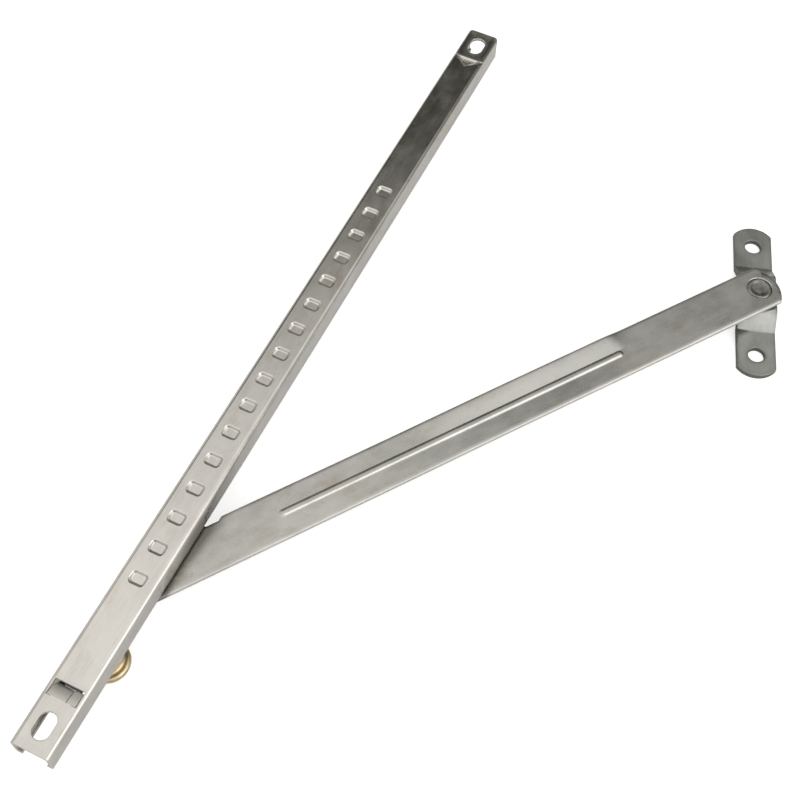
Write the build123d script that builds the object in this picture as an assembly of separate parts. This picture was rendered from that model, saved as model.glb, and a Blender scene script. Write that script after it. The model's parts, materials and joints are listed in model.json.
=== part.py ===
from build123d import *

import os
from math import atan2, cos, radians, sin, tan

# Friction stay for a side-hung window, in millimetres.
# +X runs along the track from its twin-tab end to its pointed-tab end, +Z is the outward
# normal of the track's web, and the origin is the middle of the two screw slots on the web.
# The arm hangs under the track's open side and carries the foot bracket at its far end.

# Track: folded C-channel, open side down
track_length = 300.0
track_width = 12.0
track_height = 8.5
track_sheet = 1.0
lip_width = 2.1
track_bend_radius = 1.35
end_corner_radius = 1.8
slot_length = 8.0
slot_width = 5.2
slot_inset = 7.5

# Click dimples pressed into the web
dimple_count = 16
dimple_pitch = 10.6
first_dimple_inset = 54.3
dimple_length = 3.9
dimple_width = 5.0
dimple_depth = 0.9
dimple_corner_radius = 1.2
dimple_draft = 20.0

# End stops lanced out of the web
near_stop_inset = 15.2
near_stop_length = 4.7
near_stop_width = 9.4
wide_tab_width = 5.9
wide_tab_drop = 2.6
narrow_tab_drop = 1.5
tab_gap = 0.25
far_stop_inset = 14.4
far_stop_length = 3.9
far_stop_width = 8.4
far_tab_angle = 62.0

# Clearances
slide_clearance = 0.3
glide_clearance = 0.15
running_clearance = 0.05
loose_clearance = 0.1
head_gap = 0.25

# Slider: carriage inside the track, parked half a pitch short of the first dimple
knob_spacing = 26.6
detent_spacing = 11.4
block_front_reach = 7.6
block_rear_reach = 6.8
shoe_length = 5.0
shoe_nose = 1.9
shoe_peg_length = 2.5
shoe_peg_width = 4.0
shoe_peg_height = 2.0
dimple_head_gap = 0.7
neck_stand_off = 0.4
pin_diameter = 5.0
inner_head_diameter = 7.4
inner_head_thickness = 1.6
stud_head_width = 7.0
stud_head_thickness = 2.2

# Detent leaf
leaf_thickness = 0.4
leaf_width = 4.4
leaf_base_length = 5.0
leaf_ramp_length = 4.6
leaf_crest_length = 1.6
leaf_tail_length = 2.4
leaf_tail_drop = 1.1
leaf_crest_gap = 0.05
leaf_rivet_diameter = 1.2
leaf_rivet_spacing = 2.4
leaf_rivet_length = 1.8

# Washers on the arm pivot
slide_washer_thickness = 0.5
slide_washer_diameter = 11.0
disc_spring_sheet = 0.4
disc_spring_cone = 0.2
disc_spring_diameter = 10.0
pivot_head_diameter = 9.0
pivot_head_thickness = 1.6
bush_wall = 0.7

# Clamp and brass knob
clamp_washer_diameter = 11.4
clamp_washer_thickness = 1.0
lock_washer_diameter = 8.8
lock_washer_thickness = 1.2
lock_washer_gap = 1.0
knob_diameter = 13.0
knob_flange_thickness = 2.6
knob_hub_diameter = 8.6
knob_hub_length = 3.8
knob_rim_radius = 0.7
knob_stud_recess = 0.5

# Arm: flat strip with a pressed stiffening rib
arm_reach = 220.2
arm_width = 16.0
arm_sheet = 1.5
arm_angle = -35.6
arm_edge_radius = 0.7
end_overhang = 6.8
end_sagitta = 3.5
rib_start = 40.4
rib_end = 164.4
rib_width = 2.6
rib_height = 0.5
rib_draft = 30.0
relief_start = 18.8
relief_length = 5.8
relief_depth = 1.0

# Foot bracket: joggled strip under the arm's far end
foot_angle = 18.5
foot_sheet = 2.0
foot_width = 13.0
foot_hole_spacing = 46.0
foot_hole_diameter = 5.5
foot_hole_chamfer = 0.35
foot_half_length = 31.3
foot_end_sagitta = 3.3
foot_plateau_half = 7.5
foot_step_half = 13.2
foot_step_height = 3.9
foot_bend_radius = 1.0
foot_washer_thickness = 1.0
foot_washer_diameter = 12.0
foot_rivet_head_diameter = 7.8
foot_rivet_head_thickness = 0.95
foot_rivet_dish_depth = 0.25
foot_tail_diameter = 8.4
foot_tail_thickness = 1.3
foot_backing_thickness = 0.6
foot_backing_diameter = 10.0

# Heights and places that follow from the values above
near_end_x = -track_length / 2
far_end_x = track_length / 2
lip_top_z = track_sheet - track_height
dimple_crest_z = -(track_sheet + dimple_depth)
block_top_z = dimple_crest_z - dimple_head_gap
block_shoulder_z = lip_top_z + slide_clearance
neck_bottom_z = -(track_height + neck_stand_off)
arm_top_z = neck_bottom_z - slide_washer_thickness
arm_bottom_z = arm_top_z - arm_sheet
inner_width = track_width - 2 * track_sheet
gap_width = track_width - 2 * lip_width
detent_x = near_end_x + first_dimple_inset - dimple_pitch / 2
pivot_x = detent_x + detent_spacing
knob_x = pivot_x - knob_spacing
block_rear_x = knob_x - block_rear_reach
block_front_x = pivot_x + block_front_reach
clamp_top_z = -(track_height + loose_clearance)
clamp_bottom_z = clamp_top_z - clamp_washer_thickness
knob_top_z = clamp_bottom_z - lock_washer_thickness
knob_bottom_z = knob_top_z - knob_hub_length - knob_flange_thickness
foot_top_z = arm_bottom_z - foot_washer_thickness
wing_top_z = foot_top_z - foot_step_height
wing_bottom_z = wing_top_z - foot_sheet
foot_x = pivot_x + arm_reach * cos(radians(arm_angle))
foot_y = arm_reach * sin(radians(arm_angle))
pivot_place = Pos(pivot_x, 0, 0)
arm_place = pivot_place * Rot(0, 0, arm_angle)
foot_place = Pos(foot_x, foot_y, 0) * Rot(0, 0, foot_angle)


def disc(x, diameter, top_z, bottom_z, y=0.0):
    """Upright round bar of one diameter between two heights."""
    return extrude(Plane((x, y, bottom_z)) * Circle(diameter / 2), amount=top_z - bottom_z)


def ring(x, outer, inner, top_z, bottom_z, y=0.0):
    """Upright ring, such as a plain washer."""
    return disc(x, outer, top_z, bottom_z, y) - disc(x, inner, top_z, bottom_z, y)


def bar(x_low, x_high, width, top_z, bottom_z, y=0.0):
    """Block along X, centred on y."""
    base = Plane(((x_low + x_high) / 2, y, bottom_z))
    return extrude(base * Rectangle(x_high - x_low, width), amount=top_z - bottom_z)


def side_face(points):
    """Closed face in the XZ plane from (x, z) points."""
    return make_face(Polyline(*[(x, 0, z) for x, z in points], close=True))


def thick_y(face, width, y=0.0):
    """Extrudes a face of the XZ plane both ways along Y, then moves it to y."""
    return Pos(0, y, 0) * extrude(face, amount=width / 2, dir=(0, 1, 0), both=True)


def cone_ring(x, outer, inner, top_z, sheet, rise):
    """Disc spring: a ring of even sheet whose bore stands higher than its rim."""
    profile = [
        (outer / 2, top_z - rise - sheet),
        (outer / 2, top_z - rise),
        (inner / 2, top_z),
        (inner / 2, top_z - sheet),
    ]
    return Pos(x, 0, 0) * revolve(side_face(profile), Axis.Z)


# ---------------------------------------------------------------- track


def channel_blank():
    """C-section folded from one sheet, with its lips turned in under the slider."""
    outer = RectangleRounded(track_width, track_height, track_bend_radius)
    inner = RectangleRounded(
        inner_width, track_height - 2 * track_sheet, track_bend_radius - track_sheet
    )
    mouth = Pos(0, -track_height / 2) * Rectangle(gap_width, 2 * track_sheet + 1)
    section = Plane.YZ * Pos(0, -track_height / 2) * (outer - inner - mouth)
    return extrude(section, amount=track_length / 2, both=True)


def channel_plan():
    """Plan outline of the track with the far end's two corners rounded."""
    sheet = Rectangle(track_length, track_width)
    far_corners = sheet.vertices().filter_by_position(Axis.X, far_end_x - 1, far_end_x + 1)
    return extrude(fillet(far_corners, end_corner_radius), amount=-track_height)


def channel_side():
    """Side outline of the track with the far end's lower corner rounded off."""
    sheet = Plane.XZ * Pos(0, -track_height / 2) * Rectangle(track_length, track_height)
    low_corner = sheet.vertices().sort_by(lambda v: v.X - v.Z)[-1]
    return extrude(fillet(low_corner, end_corner_radius), amount=track_width, both=True)


def dimple_plan(grow):
    """Rounded outline of a dimple, grown all round by grow."""
    return RectangleRounded(
        dimple_length + 2 * grow, dimple_width + 2 * grow, dimple_corner_radius + grow
    )


def dimple_xs():
    first = near_end_x + first_dimple_inset
    return [first + i * dimple_pitch for i in range(dimple_count)]


def curled_tab(y_low, y_high, drop):
    """Tab hinged on its end-of-track side and curled down along an arc of even sheet."""
    run = near_stop_length - tab_gap
    radius = (run**2 + drop**2) / (2 * drop)
    swing = atan2(run, radius - drop)
    hinge_x = near_end_x + near_stop_inset
    centre = Plane(origin=(hinge_x, 0, -radius), x_dir=(1, 0, 0), z_dir=(0, -1, 0))
    reach = 2 * radius
    wedge = make_face(
        Polyline((0, 0), (0, reach), (reach * sin(swing), reach * cos(swing)), close=True)
    )
    arc_sheet = (Circle(radius) - Circle(radius - track_sheet)) & wedge
    tab = extrude(centre * arc_sheet, amount=(y_high - y_low) / 2, both=True)
    return Pos(0, (y_high + y_low) / 2, 0) * tab


def near_stop_window():
    hinge_x = near_end_x + near_stop_inset
    return bar(hinge_x, hinge_x + near_stop_length, near_stop_width, 1.0, -track_sheet - 1)


def near_stop_tabs():
    """A wide and a narrow tab side by side, bent down to different depths."""
    edge = near_stop_width / 2 - tab_gap
    wide = curled_tab(edge - wide_tab_width, edge, wide_tab_drop)
    narrow = curled_tab(-edge, edge - wide_tab_width - tab_gap, narrow_tab_drop)
    return wide + narrow


def far_triangle(shrink):
    """Triangle in plan that points towards the middle of the track."""
    base_x = far_end_x - far_stop_inset
    half = far_stop_width / 2 - shrink
    tip_x = base_x - far_stop_length + shrink
    return make_face(Polyline((base_x, half), (base_x, -half), (tip_x, 0), close=True))


def far_stop_tab():
    """Pointed tab folded down about its base line."""
    base_x = far_end_x - far_stop_inset
    hinge = Axis((base_x, 0, 0), (0, 1, 0))
    flat_tab = extrude(far_triangle(tab_gap), amount=-track_sheet)
    return flat_tab.rotate(hinge, -far_tab_angle)


def make_track():
    body = channel_blank() & channel_plan() & channel_side()
    for x in dimple_xs():
        boss_face = Pos(x, 0, -track_sheet) * dimple_plan(dimple_depth * tan(radians(dimple_draft)))
        body += extrude(boss_face, amount=-dimple_depth, taper=dimple_draft)
        body -= extrude(Pos(x, 0, 0) * dimple_plan(0), amount=-dimple_depth, taper=dimple_draft)
    for x in (near_end_x + slot_inset, far_end_x - slot_inset):
        slot = Pos(x, 0, 1) * SlotOverall(slot_length, slot_width)
        body -= extrude(slot, amount=-(track_sheet + 2))
    body -= near_stop_window()
    body -= extrude(Pos(0, 0, 1) * far_triangle(0), amount=-(track_sheet + 2))
    return body + near_stop_tabs() + far_stop_tab()


# --------------------------------------------------------------- slider


def pivot_rivet():
    """Arm pivot: flush inner head, plain pin and a flat head under the washers."""
    tail_top_z = arm_bottom_z - slide_washer_thickness - disc_spring_sheet - disc_spring_cone
    tail_bottom_z = tail_top_z - pivot_head_thickness
    head = disc(pivot_x, inner_head_diameter, head_top_z(), head_top_z() - inner_head_thickness)
    pin = disc(pivot_x, pin_diameter, head_top_z(), tail_bottom_z)
    tail = disc(pivot_x, pivot_head_diameter, tail_top_z, tail_bottom_z)
    rim = tail.edges().filter_by(GeomType.CIRCLE).sort_by(Axis.Z)[0]
    return head + pin + chamfer(rim, pivot_head_thickness / 4)


def head_top_z():
    """Sunk heads in the block sit just below its top face."""
    return block_top_z - loose_clearance


def lock_stud():
    """Square-headed stud that the block keeps from turning."""
    head = bar(
        knob_x - stud_head_width / 2,
        knob_x + stud_head_width / 2,
        stud_head_width,
        head_top_z(),
        head_top_z() - stud_head_thickness,
    )
    thread = disc(knob_x, pin_diameter, head_top_z(), knob_bottom_z + knob_stud_recess)
    tip = thread.edges().filter_by(GeomType.CIRCLE).sort_by(Axis.Z)[0]
    return head + chamfer(tip, knob_stud_recess)


def make_block():
    """T-section block: wide head in the channel, neck through the gap between the lips."""
    head_width = inner_width - 2 * slide_clearance
    neck_width = gap_width - 2 * slide_clearance
    head = bar(block_rear_x, block_front_x, head_width, block_top_z, block_shoulder_z)
    neck_rear_x = knob_x + clamp_washer_diameter / 2 + slide_clearance
    neck = bar(neck_rear_x, block_front_x, neck_width, block_shoulder_z, neck_bottom_z)
    collar_bottom_z = clamp_top_z + slide_clearance
    collar = bar(block_rear_x, neck_rear_x, neck_width, block_shoulder_z, collar_bottom_z)
    block = head + neck + collar
    block -= disc(pivot_x, pin_diameter, block_top_z, neck_bottom_z)
    block -= disc(
        pivot_x, inner_head_diameter, block_top_z, head_top_z() - inner_head_thickness
    )
    block -= disc(knob_x, pin_diameter, block_top_z, neck_bottom_z)
    block -= bar(
        knob_x - stud_head_width / 2,
        knob_x + stud_head_width / 2,
        stud_head_width,
        block_top_z,
        head_top_z() - stud_head_thickness,
    )
    for y in leaf_rivet_ys():
        block -= disc(leaf_rivet_x(), leaf_rivet_diameter, block_top_z, leaf_rivet_bottom_z(), y)
    for x_low, x_high in shoe_pegs():
        block -= bar(x_low, x_high, shoe_peg_width, peg_top_z(), peg_top_z() - shoe_peg_height)
    return block


def peg_top_z():
    return (block_top_z + block_shoulder_z + shoe_peg_height) / 2


def shoe_pegs():
    """X ranges of the pegs that key the two glide shoes into the block's ends."""
    return [
        (block_rear_x, block_rear_x + shoe_peg_length),
        (block_front_x - shoe_peg_length, block_front_x),
    ]


def glide_shoe(end_x, direction, peg):
    """Nylon shoe on one end of the block: full section, keyed by a peg, with a soft nose."""
    face_x = end_x + direction * shoe_length
    nose_x = face_x + direction * shoe_nose
    low, high = sorted((end_x, face_x))
    top_z = block_top_z + slide_clearance
    bottom_z = lip_top_z + glide_clearance
    shoe = bar(low, high, inner_width - 2 * glide_clearance, top_z, bottom_z)
    shoe = chamfer(shoe.edges().filter_by(Axis.Z), glide_clearance * 3)
    nose_low, nose_high = sorted((face_x, nose_x))
    shoe += bar(nose_low, nose_high, dimple_width, top_z, (top_z + bottom_z) / 2)
    return shoe + bar(peg[0], peg[1], shoe_peg_width, peg_top_z(), peg_top_z() - shoe_peg_height)


def leaf_rivet_x():
    return detent_x - leaf_crest_length / 2 - leaf_ramp_length - leaf_base_length / 2


def leaf_rivet_ys():
    return (-leaf_rivet_spacing / 2, leaf_rivet_spacing / 2)


def leaf_rivet_bottom_z():
    return block_top_z - leaf_rivet_length


def make_leaf():
    """Spring strip riveted flat at one end, rising to a flat crest that clicks past the dimples."""
    crest_low = detent_x - leaf_crest_length / 2
    crest_high = detent_x + leaf_crest_length / 2
    base_high = crest_low - leaf_ramp_length
    base_low = base_high - leaf_base_length
    tail_x = crest_high + leaf_tail_length
    base_z = block_top_z + leaf_thickness
    crest_z = -(track_sheet + leaf_crest_gap)
    upper = [
        (base_low, base_z),
        (base_high, base_z),
        (crest_low, crest_z),
        (crest_high, crest_z),
        (tail_x, crest_z - leaf_tail_drop),
    ]
    lower = [(x, z - leaf_thickness) for x, z in reversed(upper)]
    leaf = thick_y(side_face(upper + lower), leaf_width)
    for y in leaf_rivet_ys():
        leaf -= disc(leaf_rivet_x(), leaf_rivet_diameter, base_z, block_top_z, y)
    return leaf


def make_leaf_rivets():
    """Two small rivets, flush with the leaf."""
    top_z = block_top_z + leaf_thickness
    pair = [
        disc(leaf_rivet_x(), leaf_rivet_diameter, top_z, leaf_rivet_bottom_z(), y)
        for y in leaf_rivet_ys()
    ]
    return Compound(children=pair)


def slide_washer(top_z):
    return ring(
        pivot_x,
        slide_washer_diameter,
        pin_diameter + 2 * running_clearance,
        top_z,
        top_z - slide_washer_thickness,
    )


def pivot_disc_spring():
    return cone_ring(
        pivot_x,
        disc_spring_diameter,
        pin_diameter + 2 * running_clearance,
        arm_bottom_z - slide_washer_thickness,
        disc_spring_sheet,
        disc_spring_cone,
    )


def clamp_washer():
    return ring(
        knob_x, clamp_washer_diameter, pin_diameter + 2 * loose_clearance, clamp_top_z, clamp_bottom_z
    )


def lock_washer():
    """Split washer with one gap in its ring."""
    whole = ring(
        knob_x, lock_washer_diameter, pin_diameter + 2 * loose_clearance, clamp_bottom_z, knob_top_z
    )
    gap_end_x = knob_x + lock_washer_diameter
    return whole - bar(knob_x, gap_end_x, lock_washer_gap, clamp_bottom_z, knob_top_z)


def make_knob():
    """Brass thumb nut: plain hub with a wide rounded flange at the bottom."""
    flange_top_z = knob_top_z - knob_hub_length
    flange = disc(knob_x, knob_diameter, flange_top_z, knob_bottom_z)
    flange = fillet(flange.edges().filter_by(GeomType.CIRCLE), knob_rim_radius)
    hub = disc(knob_x, knob_hub_diameter, knob_top_z, flange_top_z)
    hole = disc(knob_x, pin_diameter + 2 * running_clearance, knob_top_z, knob_bottom_z)
    return flange + hub - hole


# ------------------------------------------------------------------ arm


def arc_ended_strip(low_x, high_x, width, sagitta, sheet):
    """Flat strip whose two ends are shallow arcs that meet the long edges in corners."""
    half = width / 2
    outline = [
        Line((low_x + sagitta, -half), (high_x - sagitta, -half)),
        ThreePointArc((high_x - sagitta, -half), (high_x, 0), (high_x - sagitta, half)),
        Line((high_x - sagitta, half), (low_x + sagitta, half)),
        ThreePointArc((low_x + sagitta, half), (low_x, 0), (low_x + sagitta, -half)),
    ]
    return extrude(make_face(outline), amount=-sheet)


def rib(width):
    """Long round-ended ridge with sloping walls, standing on height 0."""
    length = rib_end - rib_start + (width - rib_width)
    plan = Pos((rib_start + rib_end) / 2, 0, 0) * SlotOverall(length, width)
    return extrude(plan, amount=rib_height, taper=rib_draft)


def make_arm():
    """Strip with soft long edges, a pressed-up rib, an edge relief and two pivot holes."""
    strip = arc_ended_strip(
        -end_overhang, arm_reach + end_overhang, arm_width, end_sagitta, arm_sheet
    )
    strip = fillet(strip.edges().filter_by(Axis.X).group_by(Axis.Z)[-1], arm_edge_radius)
    strip += rib(rib_width)
    hollow_width = rib_width - 2 * rib_height * tan(radians(rib_draft))
    strip -= Pos(0, 0, -arm_sheet) * rib(hollow_width)
    relief = Pos(relief_start + relief_length / 2, arm_width / 2, 0) * SlotOverall(
        relief_length, 2 * relief_depth
    )
    strip -= extrude(relief, amount=-arm_sheet)
    strip -= disc(0, bush_diameter(), 0, -arm_sheet)
    strip -= disc(arm_reach, pin_diameter + 2 * running_clearance, 0, -arm_sheet)
    strip -= rivet_cone(arm_reach, head_gap)
    return arm_place * Pos(0, 0, arm_top_z) * strip


def bush_diameter():
    return pin_diameter + 2 * running_clearance + 2 * bush_wall


def make_bush():
    """Plain bronze bush pressed into the arm's pivot hole."""
    return ring(
        pivot_x, bush_diameter(), pin_diameter + 2 * running_clearance, arm_top_z, arm_bottom_z
    )


def rivet_cone(x, gap):
    """Countersunk head shape with its face at height 0, grown by gap."""
    top_radius = foot_rivet_head_diameter / 2 + gap
    low_radius = pin_diameter / 2 + gap
    depth = foot_rivet_head_thickness
    profile = [(0, 0), (top_radius, 0), (low_radius, -depth), (0, -depth)]
    return Pos(x, 0, 0) * revolve(side_face(profile), Axis.Z)


# ----------------------------------------------------------------- foot


def foot_profile():
    """Hat-shaped side profile of even sheet, with radiused bends."""
    slope = atan2(foot_step_height, foot_step_half - foot_plateau_half)
    shift = foot_sheet * tan(slope / 2)
    bends = [(foot_step_half, wing_top_z), (foot_plateau_half, foot_top_z)]
    right = [(foot_half_length, wing_top_z)] + bends
    upper = right + [(-x, z) for x, z in reversed(right)]
    low_bends = [(x - shift, z - foot_sheet) for x, z in bends]
    low_right = [(foot_half_length, wing_bottom_z)] + low_bends
    lower = low_right + [(-x, z) for x, z in reversed(low_right)]
    face = side_face(upper + lower[::-1])
    tight = [bends[0], low_bends[1]]
    loose = [bends[1], low_bends[0]]
    face = fillet(corners_at(face, tight), foot_bend_radius)
    return fillet(corners_at(face, loose), foot_bend_radius + foot_sheet)


def corners_at(face, places):
    """Vertices of an XZ face at the given places and at their mirror images."""
    reach = foot_sheet / 10
    return [
        v
        for v in face.vertices()
        if any(abs(abs(v.X) - x) < reach and abs(v.Z - z) < reach for x, z in places)
    ]


def make_foot():
    """Foot bracket: raised centre on the arm's rivet and a screw hole in each wing."""
    bent = thick_y(foot_profile(), foot_width)
    plan = arc_ended_strip(
        -foot_half_length, foot_half_length, foot_width, foot_end_sagitta, foot_top_z - wing_bottom_z
    )
    foot = bent & (Pos(0, 0, foot_top_z) * plan)
    for x in (-foot_hole_spacing / 2, foot_hole_spacing / 2):
        foot -= disc(x, foot_hole_diameter, wing_top_z, wing_bottom_z)
        foot -= hole_bevel(x)
    foot -= disc(0, pin_diameter, foot_top_z, foot_top_z - foot_sheet)
    return foot_place * foot


def hole_bevel(x):
    """Small cone that breaks the upper edge of a screw hole."""
    low_radius = foot_hole_diameter / 2
    top_radius = low_radius + foot_hole_chamfer
    low_z = wing_top_z - foot_hole_chamfer
    profile = [(0, wing_top_z), (top_radius, wing_top_z), (low_radius, low_z), (0, low_z)]
    return Pos(x, 0, 0) * revolve(side_face(profile), Axis.Z)


def make_foot_rivet():
    """Flush countersunk rivet with a slightly dished face, closed under the foot."""
    tail_top_z = foot_top_z - foot_sheet - foot_backing_thickness
    tail_bottom_z = tail_top_z - foot_tail_thickness
    head = Pos(0, 0, arm_top_z) * rivet_cone(0, 0)
    pin = disc(0, pin_diameter, arm_top_z - foot_rivet_head_thickness, tail_bottom_z)
    tail = disc(0, foot_tail_diameter, tail_top_z, tail_bottom_z)
    rim = tail.edges().filter_by(GeomType.CIRCLE).sort_by(Axis.Z)[0]
    body = head + pin + chamfer(rim, foot_tail_thickness / 3)
    return foot_place * (body - rivet_dish())


def rivet_dish():
    """Shallow spherical hollow in the rivet's face."""
    rim = foot_rivet_head_diameter / 2 - 2 * foot_rivet_dish_depth
    ball = (rim**2 + foot_rivet_dish_depth**2) / (2 * foot_rivet_dish_depth)
    return Pos(0, 0, arm_top_z - foot_rivet_dish_depth + ball) * Sphere(ball)


def foot_washer():
    bore = pin_diameter + 2 * loose_clearance
    return foot_place * ring(0, foot_washer_diameter, bore, arm_bottom_z, foot_top_z)


def foot_backing():
    top_z = foot_top_z - foot_sheet
    bore = pin_diameter + 2 * loose_clearance
    return foot_place * ring(
        0, foot_backing_diameter, bore, top_z, top_z - foot_backing_thickness
    )


# ---------------------------------------------------------------- write

rear_peg, front_peg = shoe_pegs()
nodes = {
    "track": make_track(),
    "slider_block": make_block(),
    "rear_glide_shoe": glide_shoe(block_rear_x, -1, rear_peg),
    "front_glide_shoe": glide_shoe(block_front_x, 1, front_peg),
    "detent_leaf": make_leaf(),
    "leaf_rivets": make_leaf_rivets(),
    "pivot_rivet": pivot_rivet(),
    "upper_slide_washer": slide_washer(neck_bottom_z),
    "lower_slide_washer": slide_washer(arm_bottom_z),
    "pivot_disc_spring": pivot_disc_spring(),
    "lock_stud": lock_stud(),
    "clamp_washer": clamp_washer(),
    "split_lock_washer": lock_washer(),
    "brass_knob": make_knob(),
    "arm": make_arm(),
    "arm_bush": make_bush(),
    "foot_bracket": make_foot(),
    "foot_rivet": make_foot_rivet(),
    "foot_friction_washer": foot_washer(),
    "foot_backing_washer": foot_backing(),
}

os.makedirs("parts", exist_ok=True)
for name, shape in nodes.items():
    export_step(shape, os.path.join("parts", name + ".step"))
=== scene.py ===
import json
import math

import bmesh
import bpy
import numpy as np
from mathutils import Matrix, Vector


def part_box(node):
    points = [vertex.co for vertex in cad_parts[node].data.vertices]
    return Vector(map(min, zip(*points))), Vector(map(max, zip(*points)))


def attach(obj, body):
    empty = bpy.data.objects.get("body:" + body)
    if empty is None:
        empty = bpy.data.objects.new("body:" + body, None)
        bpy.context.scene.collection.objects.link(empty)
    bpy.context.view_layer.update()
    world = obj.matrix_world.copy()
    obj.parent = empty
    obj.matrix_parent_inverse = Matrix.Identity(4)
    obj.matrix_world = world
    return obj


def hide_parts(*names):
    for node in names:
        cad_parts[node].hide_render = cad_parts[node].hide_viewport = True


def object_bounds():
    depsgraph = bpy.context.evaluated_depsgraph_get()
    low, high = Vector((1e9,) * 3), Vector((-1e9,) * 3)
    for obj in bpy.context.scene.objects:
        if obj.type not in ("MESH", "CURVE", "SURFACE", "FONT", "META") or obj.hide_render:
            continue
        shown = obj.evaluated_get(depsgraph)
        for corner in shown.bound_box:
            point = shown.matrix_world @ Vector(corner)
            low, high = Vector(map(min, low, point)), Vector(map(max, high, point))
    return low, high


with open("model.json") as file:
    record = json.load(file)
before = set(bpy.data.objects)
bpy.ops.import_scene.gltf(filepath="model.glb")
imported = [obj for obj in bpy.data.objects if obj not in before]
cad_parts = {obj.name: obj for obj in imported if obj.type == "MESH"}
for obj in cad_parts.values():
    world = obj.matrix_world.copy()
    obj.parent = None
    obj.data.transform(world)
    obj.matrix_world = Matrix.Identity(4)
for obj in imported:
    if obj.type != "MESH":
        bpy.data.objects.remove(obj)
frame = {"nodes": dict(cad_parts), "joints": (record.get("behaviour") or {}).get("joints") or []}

# Friction stay: a folded channel track, a carriage with a brass thumb nut, an arm and a foot.
# Lengths below are in millimetres and are scaled to metres when a mesh is made.
MM = 0.001
cad_low, cad_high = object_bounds()


def box_mm(node):
    """Lowest and highest corner of a CAD node, in millimetres."""
    low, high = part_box(node)
    return np.array(low) / MM, np.array(high) / MM


def joint_place(name):
    """A joint's place in plan, in millimetres."""
    joint = next(j for j in frame["joints"] if j["name"] == name)
    return np.array(joint["pos_m"][:2]) / MM


# ------------------------------------------------------------------ sizes

track_low, track_high = box_mm("track")
near_x, far_x = track_low[0], track_high[0]
half_width = track_high[1]
channel_floor = track_low[2]
track_sheet = 1.0
track_bend = 0.85
lip_width = 2.1
far_corner = 1.8
slot_half_run = 1.4
slot_radius = 2.6
slot_inset = 7.5
dimple_count = 16
dimple_pitch = 10.6
dimple_inset = 54.3
dimple_half = (1.95, 2.5)
dimple_corner = 1.2
dimple_depth = 0.9
dimple_lead = 0.2
dimple_wall = 0.85
window_inset = 15.2
window_length = 4.7
window_half = 4.7
window_corner = 0.35
slot_centres = (near_x + slot_inset, far_x - slot_inset)
window_middle = near_x + window_inset + window_length / 2
wide_tab = 5.9
wide_tab_drop = 2.6
narrow_tab_drop = 1.5
tab_gap = 0.25
# Rim weight laid over the whole of each near tab: the pale rim tone there is a painted highlight that
# lightens the tabs.
tab_painted_light = 1.8
tab_corner = 0.9
point_inset = 14.4
point_length = 3.9
point_half = 4.2
point_angle = math.radians(62)
point_bend = 0.45
point_blunt = 0.03
# Share of the rim weight on the far tab, so that its rim wear and painted edge highlight stay faint.
point_wear_and_highlight = 0.2
point_sink = 0.1
point_sink_ring = (0.75, 0.35)
skin_radii = (0.2, 0.15)

arm_high = box_mm("arm")[1]
rib_height = 0.5
arm_top = arm_high[2] - rib_height
arm_sheet = 1.5
arm_half_width = 8.0
arm_overhang = 6.8
arm_sagitta = 3.5
rib_run = (40.4, 164.4)
rib_half = 1.3
rib_wall = 0.85
rib_inner_shrink = 0.3
arm_rim = 0.7
arm_relief = (18.8, 24.6)
arm_relief_depth = 1.0
# Reach of the painted shadow beside the channel; the depth below the arm's top that counts as its upper
# face.
shadow_reach = 3.6
upper_face_depth = 0.8
panel_run = (70.0, 165.0)
panel_growth = 60.0
panel_fade = (4.0, 7.0)
panel_tilt = math.radians(4.6)
# Strength of the pale painted reflection on the tilted panel.
panel_sheen_share = 0.42
lower_growth = 50.0
lower_fade = (15.0, 40.0)
lower_tilt = math.radians(2.6)
pivot = joint_place("arm_swing")
ankle = joint_place("foot_swivel")
arm_reach = float(np.hypot(*(ankle - pivot)))
arm_turn = math.atan2(*(ankle - pivot)[::-1])

foot_low, foot_high = box_mm("foot_bracket")
foot_turn = math.radians(18.5)
foot_sheet = 2.0
foot_half_width = 6.5
foot_half_length = 31.3
foot_sagitta = 3.3
foot_plateau = 7.5
foot_step = 13.2
foot_bend = 2.0
foot_hole = (23.0, 2.75)
foot_rim = 0.35

rivet_head = 3.9
rivet_depth = 0.95
rivet_gap = 0.25
moat_depth = 0.35
moat_width = 0.2
pin_radius = 2.5
rim_fade = 0.5


# ------------------------------------------------------- meshes from arrays


def merged(*parts):
    """Grid lines of several lists as one sorted list without repeats."""
    return np.unique(np.round(np.concatenate(parts), 4))


def lines(*spans):
    """Sorted grid lines: each span (start, stop, step) is divided evenly."""
    return merged(
        *[np.linspace(a, b, max(2, int(round(abs(b - a) / step)) + 1)) for a, b, step in spans]
    )


def near_edge(edge, inward, radius):
    """Grid lines that crowd towards a free edge: radius times one minus the cosine of even steps."""
    angles = np.linspace(0, math.pi / 2, 5)
    return np.append(edge + inward * radius * (1 - np.cos(angles)), edge + inward * 2 * radius)


def quads(rows, columns):
    """Faces of a grid of rows by columns, counter-clockwise seen from its normal side."""
    first = (np.arange(rows - 1)[:, None] * columns + np.arange(columns - 1)).ravel()
    return np.stack([first, first + columns, first + columns + 1, first + 1], 1)


def open_edges(faces):
    """Directed edges that only one face has, with that face on their left."""
    edges = np.concatenate([np.stack([faces[:, i], faces[:, (i + 1) % 4]], 1) for i in range(4)])
    span = int(edges.max()) + 1
    forward = edges[:, 0] * span + edges[:, 1]
    backward = edges[:, 1] * span + edges[:, 0]
    return edges[~np.isin(forward, backward)]


def shifted(faces, start):
    """Faces as lists, with every point's number raised by start."""
    if isinstance(faces, np.ndarray):
        return (faces + start).tolist()
    return [[i + int(start) for i in face] for face in faces]


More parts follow.
